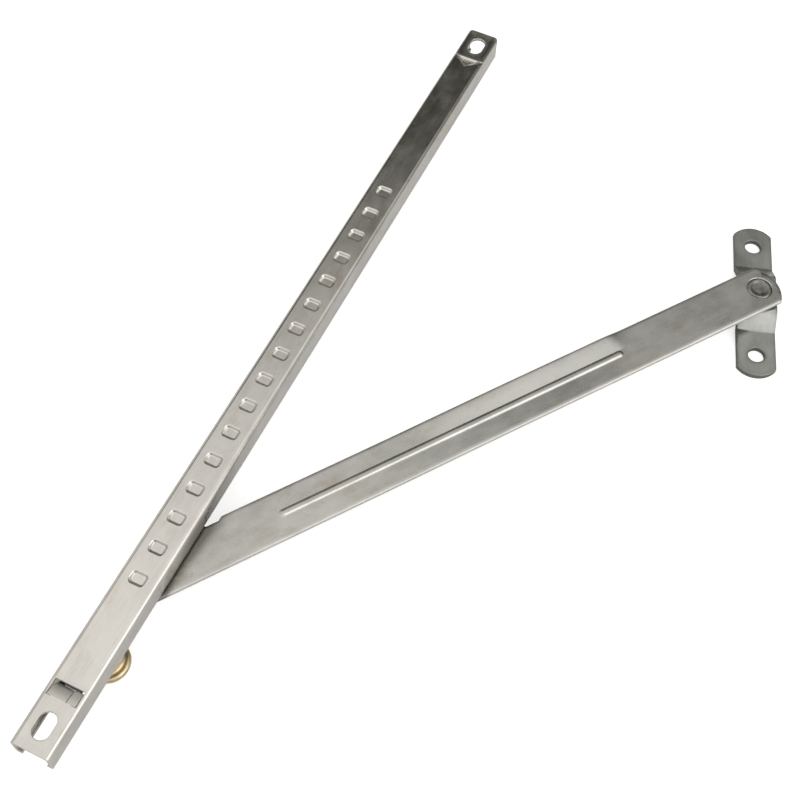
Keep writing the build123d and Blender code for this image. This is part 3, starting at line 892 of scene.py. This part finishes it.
def make_arm():
    """The arm as one sheet along its own length, with its two rivet holes, relief, rib and seat."""
    low, high = -arm_overhang, arm_reach + arm_overhang
    pivot_hole, rivet_hole = 3.25, pin_radius + 0.05
    holes = ((0.0, pivot_hole), (arm_reach, rivet_hole))
    seat = rivet_head + rivet_gap
    rivet_rings = np.concatenate([
        lines((0.5, rivet_hole, 0.5), (rivet_hole, seat - 0.2, 0.4)),
        lines((seat - 0.2, seat + 0.4, 0.1)),
        [seat + 0.7],
    ])
    pivot_rings = opening_rings(pivot_hole, 0.2, pivot_hole + 0.6, 0.6)
    notch = lines((arm_relief[0] - 1.0, arm_relief[1] + 1.0, 0.2))
    along = merged(
        near_edge(low, 1, arm_rim),
        near_edge(high, -1, arm_rim),
        ring_lines(0.0, 0.0, pivot_rings),
        ring_lines(arm_reach, 0.0, rivet_rings),
        notch,
        lines((6, notch[0] - 1, 2), (notch[-1] + 1, rib_run[0] - 2, 2.5)),
        lines((rib_run[0] - 0.8, rib_run[0] + 2.2, 0.15), (rib_run[0] + 3, rib_run[1] - 3, 2.5)),
        lines((rib_run[1] - 2.2, rib_run[1] + 2.4, 0.15), (rib_run[1] + 4, arm_reach - 7, 2.5)),
    )
    side = merged(
        lines((0, 0.6, 0.3), (0.6, 2.0, 0.1), (2.0, 6.4, 0.44)),
        rivet_rings,
        pivot_rings,
        near_edge(arm_half_width, -1, arm_rim),
    )
    s, t = np.meshgrid(along, merged(-side, side), indexing="ij")
    for centre, rings in ((0.0, pivot_rings), (arm_reach, rivet_rings)):
        s, t = round_the_grid(s, t, centre, rings[-1], rings[-1] + 1.0)
    for end, centre, rings in ((low, 0.0, pivot_rings), (high, arm_reach, rivet_rings)):
        s = arc_end(s, t, end, centre, rings[-1], arm_half_width, arm_sagitta)
    middle = (low + high) / 2
    relief = soft_step((arm_relief[1] + 0.6 - s) / 1.8) * soft_step((s - arm_relief[0] + 0.3) / 1.2)
    inset = arm_relief_depth * relief
    relief_root = 4.5
    side_share = np.clip((t - relief_root) / (arm_half_width - relief_root), 0, 1)
    t = t - inset * side_share
    ends = [end_gap(s - middle, t, end - middle, arm_half_width, arm_sagitta) for end in (low, high)]
    edge = np.minimum.reduce(ends + [arm_half_width + t, arm_half_width - inset - t])

    def hole(s, t):
        return np.minimum(*[slot_gap(s, t, c, 0.0, r) for c, r in holes])

    def place(s, t, height):
        x, y = turned_plan(s, t, pivot, arm_turn)
        return np.stack([x, y, arm_top - arm_sheet / 2 + height], 1)

    shell = sheet_shell(s, t, place, arm_sheet, edge, (arm_rim, 0.3), hole, arm_press)
    # The arm's two painted marks: a dark painted shadow beside the channel and a pale painted reflection on
    # the tilted panel.
    marks = {"painted_shadow": painted_channel_shadow, "painted_sheen": painted_panel_sheen}
    piece("stay_arm", [shell], "arm", arm_steel, ["arm"], marks=marks)


# -------------------------------------------------------------------- foot


def make_foot():
    """The joggled foot as one sheet along its bent path, with a hole in each wing and the pin's."""
    top = foot_high[2] - foot_sheet / 2
    wing = foot_low[2] + foot_sheet / 2
    slope = math.atan2(top - wing, foot_step - foot_plateau)
    shift = foot_sheet / 2 * math.tan(slope / 2)
    right = [(foot_plateau - shift, top), (foot_step - shift, wing), (foot_half_length, wing)]
    left = [(-x, z) for x, z in right[::-1]]
    path, length = bent_path(left + right, foot_bend)
    half = length / 2
    hole_at = half - (foot_half_length - foot_hole[0])
    rings = opening_rings(foot_hole[1], foot_rim, foot_hole[1] + 0.9, 0.5)
    pin_rings = opening_rings(pin_radius, 0.1, pin_radius + 0.5, 0.6)
    along = merged(
        near_edge(-half, 1, foot_rim),
        near_edge(half, -1, foot_rim),
        ring_lines(-hole_at, 0.0, rings),
        ring_lines(hole_at, 0.0, rings),
        ring_lines(0.0, 0.0, pin_rings),
        lines((-half + 1, -half + 4, 0.5), (half - 4, half - 1, 0.5)),
        lines((-18, -5, 0.35), (5, 18, 0.35)),
    )
    side = merged(rings, pin_rings, lines((3.6, 5.8, 0.4)), near_edge(foot_half_width, -1, foot_rim))
    s, t = np.meshgrid(along, merged(-side, [0.0], side), indexing="ij")
    for centre in (-hole_at, hole_at):
        s, t = round_the_grid(s, t, centre, rings[-1], rings[-1] + 1.2)
        s = arc_end(s, t, math.copysign(half, centre), centre, rings[-1], foot_half_width, foot_sagitta)
    s, t = round_the_grid(s, t, 0.0, pin_rings[-1], pin_rings[-1] + 1.2)
    ends = [end_gap(s, t, end, foot_half_width, foot_sagitta) for end in (-half, half)]
    edge = np.minimum.reduce(ends + [foot_half_width - np.abs(t)])

    def hole(s, t):
        wings = [slot_gap(s, t, c, 0.0, foot_hole[1]) for c in (-hole_at, hole_at)]
        return np.minimum.reduce(wings + [slot_gap(s, t, 0.0, 0.0, pin_radius)])

    def place(s, t, height):
        bent, z = path(s + half, height)
        x, y = turned_plan(bent, t, ankle, foot_turn)
        return np.stack([x, y, z], 1)

    shell = sheet_shell(s, t, place, foot_sheet, edge, (foot_rim, 0.3), hole)
    piece("foot_plate", [shell], "foot", foot_steel, ["foot_bracket"])


# ------------------------------------------------- rivets, washers and knob


def ring_section(inner, outer, low, high, radius):
    """A washer's closed section with eased corners."""
    middle = (inner + outer) / 2
    corners = [(middle, low), (outer, low), (outer, high), (inner, high), (inner, low), (middle, low)]
    return eased(corners, radius)[:-1]


def make_washer(name, node, body, material, bore):
    """A plain washer that fills its node's box."""
    low, high = box_mm(node)
    centre = (low + high) / 2
    outer = (high[0] - low[0]) / 2
    section = ring_section(bore, outer, low[2], high[2], 0.16)
    piece(name, [turned_shell(section, centre, loop=True)], body, material, [node])


def make_split_washer():
    """A washer cut once, with its two ends sprung a little apart in height."""
    half_cut = 0.12
    spring = 0.2
    low, high = box_mm("split_lock_washer")
    centre = joint_place("knob_turn")
    section = ring_section(pin_radius + 0.1, (high[1] - low[1]) / 2, low[2] + 0.1, high[2] - 0.1, 0.14)
    shell = turned_shell(section, centre, 84, loop=True, arc=(half_cut, 2 * math.pi - half_cut))
    points = shell[0]
    angle = np.arctan2(points[:, 1] - centre[1], points[:, 0] - centre[0]) % (2 * math.pi)
    points[:, 2] += spring * (angle / (2 * math.pi) - 0.5)
    piece("split_washer", [shell], "slider", spring_steel, ["split_lock_washer"])


def make_foot_rivet():
    """Countersunk head with a raised rim round a shallow dish, plain pin and an upset tail."""
    low, high = box_mm("foot_rivet")
    top, bottom = high[2], low[2]
    tail_top = bottom + 1.3
    dish = rivet_head - 0.85
    profile = [
        (0, bottom), (2.9, bottom), (4.2, bottom + 0.55), (4.2, tail_top), (pin_radius, tail_top),
        (pin_radius, top - rivet_depth), (rivet_head, top - 0.12), (rivet_head - 0.3, top),
        (dish, top - 0.05), (dish - 0.7, top - 0.24), (0, top - 0.3),
    ]
    shell = turned_shell(eased(profile, 0.22), ankle)
    piece("ankle_rivet", [shell], "foot", rivet_steel, ["foot_rivet"])


def make_pivot_rivet():
    """Flush inner head, pin, and a low domed head with a spun hollow in its middle."""
    low, high = box_mm("pivot_rivet")
    top, bottom = high[2], low[2]
    profile = [
        (0, bottom + 0.35), (1.0, bottom + 0.25), (1.5, bottom), (2.9, bottom), (4.3, bottom + 0.5),
        (4.5, bottom + 1.0), (4.5, bottom + 1.6), (pin_radius, bottom + 1.6), (pin_radius, top - 1.6),
        (3.7, top - 1.6), (3.7, top), (0, top),
    ]
    shell = turned_shell(eased(profile, 0.25), pivot)
    piece("arm_rivet", [shell], "slider", rivet_steel, ["pivot_rivet"])


def make_stud():
    """Square head and a threaded shank: the thread is a triangle wave of height less angle."""
    low, high = box_mm("lock_stud")
    top, bottom = high[2], low[2]
    head = 2.2
    pitch, depth = 0.8, 0.42
    shank_top = top - head
    shank = np.arange(bottom + 0.5, shank_top - 0.6, pitch / 8)
    profile = np.array(
        [(0, bottom), (1.7, bottom), (2.1, bottom + 0.3)] + [(pin_radius, z) for z in shank]
        + [(pin_radius, shank_top), (3.5, shank_top), (3.5, top), (0, top)]
    )

    def shape(angle, radius, height):
        phase = (height / pitch - angle / (2 * math.pi)) % 1.0
        groove = depth * (1 - np.abs(2 * phase - 1))
        fade = soft_step((shank_top - 0.8 - height) / 0.6) * (radius > 2.4) * (radius < 2.6)
        square = 1 / np.maximum(np.abs(np.cos(angle)), np.abs(np.sin(angle)))
        return np.where(radius > 3, radius * square, radius - groove * fade)

    shell = turned_shell(profile, joint_place("knob_turn"), 96, shape=shape)
    piece("clamp_stud", [shell], "slider", rivet_steel, ["lock_stud"], crease=30.0)


def make_knob():
    """Turned thumb nut: hub with a fillet, a wide rounded rim with a shallow belt, and a dished face."""
    low, high = box_mm("brass_knob")
    top, bottom = high[2], low[2]
    rim_top = bottom + 2.6
    outer = (high[0] - low[0]) / 2
    hub = 4.3
    bore = pin_radius + 0.05
    profile = [
        (bore, top - 0.3), (bore + 0.35, top), (hub - 0.3, top), (hub, top - 0.3), (hub, rim_top + 0.5),
        (hub + 0.5, rim_top), (outer - 0.55, rim_top), (outer, rim_top - 0.55), (outer - 0.1, bottom + 1.3),
        (outer, bottom + 0.55), (outer - 0.55, bottom), (hub + 0.4, bottom), (hub - 0.2, bottom + 0.25),
        (bore + 0.4, bottom + 0.25), (bore, bottom + 0.6),
    ]
    shell = turned_shell(eased(profile, 0.4)[::-1], joint_place("knob_turn"), 96, loop=True)
    piece("thumb_nut", [shell], "knob", knob_brass, ["brass_knob"])


make_track()
make_arm()
make_foot()
make_foot_rivet()
make_pivot_rivet()
make_stud()
make_knob()
make_split_washer()
running_bore = pin_radius + 0.05
loose_bore = pin_radius + 0.1
make_washer("upper_arm_washer", "upper_slide_washer", "slider", nylon, running_bore)
make_washer("lower_arm_washer", "lower_slide_washer", "slider", nylon, running_bore)
make_washer("lip_washer", "clamp_washer", "slider", washer_steel, loose_bore)
make_washer("foot_washer", "foot_friction_washer", "foot", nylon, loose_bore)
make_washer("tail_washer", "foot_backing_washer", "foot", washer_steel, loose_bore)

for node, material in (
    ("slider_block", cast_zinc),
    ("rear_glide_shoe", nylon),
    ("front_glide_shoe", nylon),
    ("detent_leaf", spring_steel),
    ("leaf_rivets", rivet_steel),
    ("pivot_disc_spring", spring_steel),
    ("arm_bush", bush_bronze),
):
    mesh = frame["nodes"][node].data
    mesh.materials.clear()
    mesh.materials.append(material)


# -------------------------------------------------- floor, lights, camera


def make_floor():
    """A wide sheet of matt card on a light table, which glows a little to the eye."""
    bpy.ops.mesh.primitive_plane_add(size=12.0, location=(0, 0, cad_low.z))
    floor = bpy.context.object
    floor.name = "floor"
    material, tree, shader = new_finish("pale_card")
    paper = stretched_noise(tree, 0.0, 300, 300, 3.0, 0.5)
    seen = add(tree, "ShaderNodeLightPath").outputs["Is Camera Ray"]
    tree.links.new(ramp(tree, paper, (0.3, 0.80), (0.7, 0.82)), shader.inputs["Base Color"])
    shader.inputs["Roughness"].default_value = 0.8
    shader.inputs["Specular IOR Level"].default_value = 0.2
    shader.inputs["Emission Color"].default_value = (1.0, 1.0, 1.0, 1.0)
    tree.links.new(math_node(tree, "MULTIPLY", seen, 0.6), shader.inputs["Emission Strength"])
    floor.data.materials.append(material)


def facing(tree, direction, axis):
    """How far a direction points along an axis: their dot product."""
    node = add(tree, "ShaderNodeVectorMath", {0: direction, 1: axis}, operation="DOT_PRODUCT")
    return node.outputs["Value"]


def make_room():
    """Studio surroundings: a bright ceiling that reaches down behind the camera, a dark far wall
    and two pale side walls.
    """
    world = bpy.data.worlds.new("studio")
    bpy.context.scene.world = world
    world.use_nodes = True
    tree = world.node_tree
    background = tree.nodes["Background"]
    direction = add(tree, "ShaderNodeTexCoord").outputs["Generated"]
    tone = ramp(
        tree, facing(tree, direction, (-0.27, -0.16, 0.9)),
        (0.0, (0.20, 0.20, 0.19)), (0.20, (0.06, 0.06, 0.05)), (0.40, (0.015, 0.015, 0.012)),
        (0.455, (0.05, 0.048, 0.04)), (0.50, (0.20, 0.195, 0.18)), (0.545, (0.54, 0.53, 0.51)),
        (0.61, (0.80, 0.79, 0.77)), (0.70, (1.0, 0.98, 0.95)), (0.80, (1.0, 0.985, 0.96)),
        (0.94, (0.78, 0.775, 0.76)),
    )
    left_wall = (0.42, 0.0), (0.56, (0.66, 0.65, 0.62))
    right_wall = (0.5, 0.0), (0.66, (0.46, 0.455, 0.44))
    for axis, stops in (((-0.4, 0.9, 0.0), left_wall), ((0.1, -1.0, -0.1), right_wall)):
        wall = ramp(tree, facing(tree, direction, axis), *stops)
        tone = blend_tone(tree, 1.0, tone, wall, "LIGHTEN")
    seen = add(tree, "ShaderNodeLightPath").outputs["Is Camera Ray"]
    tree.links.new(blend_tone(tree, seen, tone, (0.93, 0.93, 0.93)), background.inputs["Color"])
    background.inputs["Strength"].default_value = 1.08


def add_softbox(name, place, aim, size, power):
    """A square softbox that faces a point."""
    light = bpy.data.lights.new(name, "AREA")
    light.size = size
    light.energy = power
    holder = bpy.data.objects.new(name, light)
    bpy.context.scene.collection.objects.link(holder)
    holder.location = place
    holder.rotation_euler = (Vector(aim) - Vector(place)).to_track_quat("-Z", "Y").to_euler()


def make_camera():
    """Looks down along the track from beyond its near end, turned a little about its own axis."""
    place = Vector((-0.20024, -0.12129, 0.33344))
    aim = Vector((-0.00983, -0.04077, 0.0))
    roll = math.radians(2.88)
    data = bpy.data.cameras.new("camera")
    data.lens = 57.48
    data.sensor_width = 36.0
    data.clip_start = 0.01
    data.clip_end = 50.0
    camera = bpy.data.objects.new("camera", data)
    bpy.context.scene.collection.objects.link(camera)
    turn = (aim - place).to_track_quat("-Z", "Y").to_matrix() @ Matrix.Rotation(roll, 3, "Z")
    camera.matrix_world = Matrix.Translation(place) @ turn.to_4x4()
    bpy.context.scene.camera = camera


make_floor()
make_room()
add_softbox("side_softbox", (-0.10, -1.25, 0.46), (0, -0.03, 0), 1.2, 5.5)
add_softbox("camera_softbox", (-1.5, -0.85, 1.8), (0, 0, 0), 2.4, 1.5)
make_camera()
bpy.context.scene.view_settings.view_transform = "Standard"
